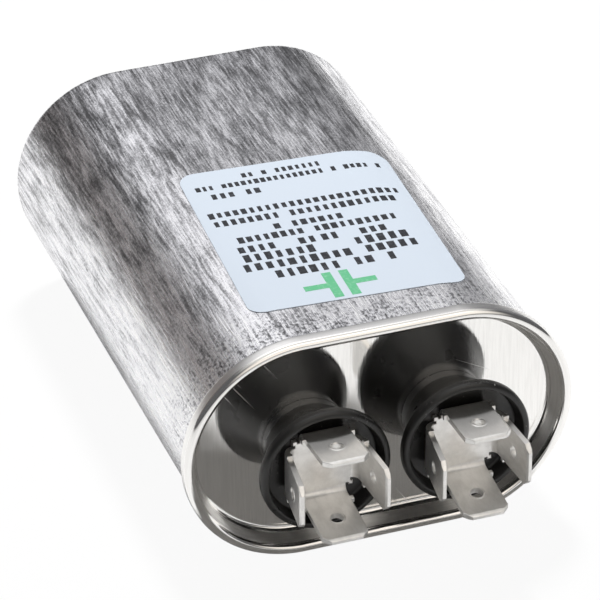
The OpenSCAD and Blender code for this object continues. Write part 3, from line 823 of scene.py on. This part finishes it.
# Four tabs, each with its number, from 0 to 3, and its own lean
count = add(fold, "GeometryNodePoints", {"Count": len(LEANS)}).outputs[0]
tabs = add(fold, "GeometryNodeInstanceOnPoints", {"Points": count,
           "Instance": given["Geometry"]}).outputs[0]
number = add(fold, "GeometryNodeInputIndex").outputs[0]
tabs = add(fold, "GeometryNodeStoreNamedAttribute", {"Geometry": tabs, "Name": "tab", "Value": number},
           data_type="FLOAT", domain="INSTANCE").outputs[0]
tabs = add(fold, "GeometryNodeRealizeInstances", {"Geometry": tabs}).outputs[0]
which = add(fold, "GeometryNodeInputNamedAttribute", {"Name": "tab"}, data_type="FLOAT").outputs[0]
chooser = add(fold, "GeometryNodeIndexSwitch", data_type="FLOAT")
while len(chooser.index_switch_items) < len(LEANS):
    chooser.index_switch_items.new()
fold.links.new(which, chooser.inputs["Index"])
for k, lean in enumerate(LEANS):
    fold.links.new(given[lean], chooser.inputs[k + 1])
lean_turn = sums("MULTIPLY", chooser.outputs[0], math.pi / 180)
full_turn = sums("SUBTRACT", math.pi / 2, lean_turn)

# How far along the bend a point lies, as an angle, and how far past its end
place = split(fold, where(fold))
run = sums("SUBTRACT", place[0], given["Bend Line"])
middle_r = sums("ADD", given["Bend Radius"], sums("MULTIPLY", given["Sheet"], 0.5))
bend_run = sums("MULTIPLY", middle_r, math.pi / 2)
share = math_node(fold, "DIVIDE", run, bend_run, clamp=True)
turned = sums("MULTIPLY", share, full_turn)
sine, cosine = sums("SINE", turned), sums("COSINE", turned)
centre_z = sums("ADD", given["Bend Radius"], given["Sheet"])
radius = sums("SUBTRACT", centre_z, place[2])

# A leaning blade is stretched a little, so that its tip still reaches the full height
upright = sums("SUBTRACT", given["Height"], centre_z)
gained = sums("MULTIPLY", given["Bend Radius"], sums("SINE", lean_turn))
leaning = sums("DIVIDE", sums("ADD", upright, gained), sums("COSINE", lean_turn))
past = sums("MULTIPLY", sums("MAXIMUM", sums("SUBTRACT", run, bend_run)), sums("DIVIDE", leaning, upright))
on_arc = sums("ADD", sums("MULTIPLY", radius, sine), sums("MULTIPLY", past, cosine))
new_x = sums("ADD", sums("ADD", given["Bend Line"], sums("MINIMUM", run)), on_arc)
arc_z = sums("SUBTRACT", centre_z, sums("MULTIPLY", radius, cosine))
bent = joined(fold, new_x, place[1], sums("ADD", arc_z, sums("MULTIPLY", past, sine)))

# The square's own corners stay flat
beside = sums("GREATER_THAN", sums("ABSOLUTE", place[1]), given["Half Width"])
in_corner = sums("MULTIPLY", beside, sums("LESS_THAN", place[0], given["Corner"]))
folded = add(fold, "GeometryNodeSetPosition", {"Geometry": tabs, "Position": bent,
             "Selection": sums("LESS_THAN", in_corner, 0.5)}).outputs[0]
round_axis = rotated(fold, where(fold), (0, 0, 1), sums("MULTIPLY", which, math.pi / 2))
shape = add(fold, "GeometryNodeSetPosition", {"Geometry": folded, "Position": round_axis}).outputs[0]
end_tree(fold, shape, given["Finish"], sink)
print("folding tree:", len(fold.nodes), "nodes")

# %% Two terminals
# side, name, the four leans in degrees, and how far the terminal sits off its cup's middle in mm
TERMINALS = [(-1, "left", (3.4, 5.4, 6.8, 6.5), 0.3), (1, "right", (3.7, 3.3, 7.5, 8.0), -0.3)]
for side, name, leans, offset in TERMINALS:
    own = {label.replace(" ", "_"): lean for label, lean in zip(LEANS, leans)}
    blades = grow_from("tabs_" + name, flat, fold, Finish=satin_tin, **own)
    on_dish = Matrix.Translation((side * PITCH / 2, offset * MM, PANEL_Z + DISH_Z * MM))
    tidy(blades, lay_down @ on_dish, sharp=14)
    stands_for(blades, "terminal_" + name)

# %% [markdown]
# ## Print on the label
# The label is printed in black rows with one green sign. The rows here are plain bars, one
# for each place where a letter could stand, so they say nothing. The sign is the drawing
# symbol of a capacitor: two plates with a lead on each. A Geometry Nodes tree cuts each row
# into bars, leaves gaps between words, and lays everything on the curved film.

# %% Trees for the print
wrap, given, sink = tree_with("lay_on_film", [("Middle", "Vector", (1.6 * MM, -5.3 * MM, RIM_R)),
    ("Skew", "Float", math.radians(-2.2)), ("Film Radius", "Float", CAN_R + 0.1 * MM),
    ("Half Straight", "Float", CENTRE_X)])
slanted = rotated(wrap, where(wrap), (0, 0, 1), given["Skew"])
placed = split(wrap, vector_node(wrap, "ADD", slanted, given["Middle"]))
round_part = past_straight(wrap, placed[0], given["Half Straight"])
fall = math_node(wrap, "SUBTRACT", math_node(wrap, "POWER", given["Film Radius"], 2.0),
                 math_node(wrap, "POWER", round_part, 2.0))
height = math_node(wrap, "ADD", placed[2], math_node(wrap, "SQRT", fall))
laid = add(wrap, "GeometryNodeSetPosition", {"Geometry": given["Geometry"],
           "Position": joined(wrap, placed[0], placed[1], height)}).outputs[0]
wrap.links.new(laid, sink.inputs[0])


def lay_on_film(tree, shape):
    node = tree.nodes.new("GeometryNodeGroup")
    node.node_tree = wrap
    tree.links.new(shape, node.inputs[0])
    return node.outputs[0]


INK = 0.03 * MM                                # thickness of the ink, far more than a real one has
bars, given, sink = tree_with("rows_of_bars", [("Pitch Share", "Float", 0.74),
    ("Gap Chance", "Float", 0.10), ("Seed", "Int", 4), ("Finish", "Material", None)])
size = add(bars, "GeometryNodeInputNamedAttribute", {"Name": "row_height"}, data_type="FLOAT").outputs[0]
rows = add(bars, "GeometryNodeMeshToCurve", {"Mesh": given["Geometry"]}).outputs[0]
rows = add(bars, "GeometryNodeResampleCurve", {"Curve": rows,
           "Length": math_node(bars, "MULTIPLY", size, given["Pitch Share"])}, mode="LENGTH").outputs[0]
spots = add(bars, "GeometryNodeCurveToPoints", {"Curve": rows}, mode="EVALUATED").outputs[0]
gap = add(bars, "FunctionNodeRandomValue", {"Probability": given["Gap Chance"], "Seed": given["Seed"]},
          data_type="BOOLEAN").outputs[3]
spots = add(bars, "GeometryNodeDeleteGeometry", {"Geometry": spots, "Selection": gap},
            domain="POINT").outputs[0]
# Each bar's width and height are shares of its row's letter height
wide = add(bars, "FunctionNodeRandomValue", {2: 0.34, 3: 0.56, "Seed": 9}, data_type="FLOAT").outputs[1]
tall = add(bars, "FunctionNodeRandomValue", {2: 0.84, 3: 1.0, "Seed": 5}, data_type="FLOAT").outputs[1]
scale = joined(bars, math_node(bars, "MULTIPLY", wide, size), math_node(bars, "MULTIPLY", tall, size), INK)
block = add(bars, "GeometryNodeMeshCube", {"Size": (1, 1, 1)}).outputs[0]
inked = add(bars, "GeometryNodeInstanceOnPoints", {"Points": spots, "Instance": block,
            "Scale": scale}).outputs[0]
inked = add(bars, "GeometryNodeRealizeInstances", {"Geometry": inked}).outputs[0]
end_tree(bars, lay_on_film(bars, inked), given["Finish"], sink)

sign, given, sink = tree_with("sign_on_film", [("Finish", "Material", None)])
end_tree(sign, lay_on_film(sign, given["Geometry"]), given["Finish"], sink)
print("print trees:", len(wrap.nodes), len(bars.nodes), len(sign.nodes), "nodes")

# %% Ink
def ink(name, colour, worn):
    material, tree, shader, position = finish(name, colour, Roughness=0.5)
    patchy = spread(tree, noise(tree, position, 2600.0, 3.0), 0.45, 0.75)
    tree.links.new(blend_colour(tree, patchy, (*colour, 1), (*worn, 1)),
                   shader.inputs["Base Color"])
    return material


black_ink = ink("black_ink", (0.018, 0.019, 0.023), (0.06, 0.063, 0.075))
green_ink = ink("green_ink", (0.14, 0.50, 0.27), (0.24, 0.58, 0.36))

# %% Rows
# Place along the can, from, to, and letter height, in mm
ROWS = [(-10.1, -8.9, 6.9, 2.0), (-7.5, -12.6, 10.9, 2.0), (-5.1, 2.2, 10.3, 2.0),
        (-5.1, -11.9, -2.9, 2.0), (-2.8, -0.2, 10.8, 1.7), (-2.8, -12.0, -2.0, 1.7),
        (-0.3, -11.3, 10.4, 1.6), (1.9, -5.5, 4.7, 1.6), (4.7, -13.2, 13.2, 1.6),
        (7.0, -13.3, 13.3, 1.5), (11.9, -11.4, -5.2, 1.5), (14.4, -13.0, 13.2, 1.25),
        (16.4, -5.8, 5.9, 1.25)]
line = bpy.data.meshes.new("row_lines")
line.from_pydata([(x * MM, y * MM, 0) for y, a, b, _ in ROWS for x in (a, b)],
                 [(2 * k, 2 * k + 1) for k in range(len(ROWS))], [])
line.attributes.new("row_height", "FLOAT", "POINT").data.foreach_set(
    "value", [h * MM for *_, h in ROWS for _ in range(2)])
rows_print = grow_from("label_rows", line, bars, Finish=black_ink)

SIGN = [(-7.0, -3.7, -15.5, -14.3), (-3.7, -2.4, -18.1, -11.7), (-1.3, 0.0, -18.1, -11.7),
        (0.0, 3.1, -15.5, -14.3)]               # bars of the sign: from and to, across and along, in mm
STEPS = 6                                       # lengths each bar is cut into, so that it can bend
corners, faces = [], []
for left, right_end, near, far in SIGN:
    first = len(corners)
    for k in range(STEPS + 1):
        x = left + (right_end - left) * k / STEPS
        corners += [(x * MM, y * MM, z) for y, z in ((near, -INK / 2), (far, -INK / 2),
                                                     (far, INK / 2), (near, INK / 2))]
    for k in range(STEPS):
        n = first + 4 * k
        faces += [(n + j, n + (j + 1) % 4, n + 4 + (j + 1) % 4, n + 4 + j) for j in range(4)]
    faces += [(first + 3, first + 2, first + 1, first), tuple(range(len(corners) - 4, len(corners)))]
drawing = bpy.data.meshes.new("sign_drawing")
drawing.from_pydata(corners, [], faces)
sign_print = grow_from("label_sign", drawing, sign, Finish=green_ink)
for piece in (rows_print, sign_print):
    tidy(piece, Matrix.Identity(4))
    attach(piece, "root")

# %% Finish
scene.view_settings.view_transform = "Standard"
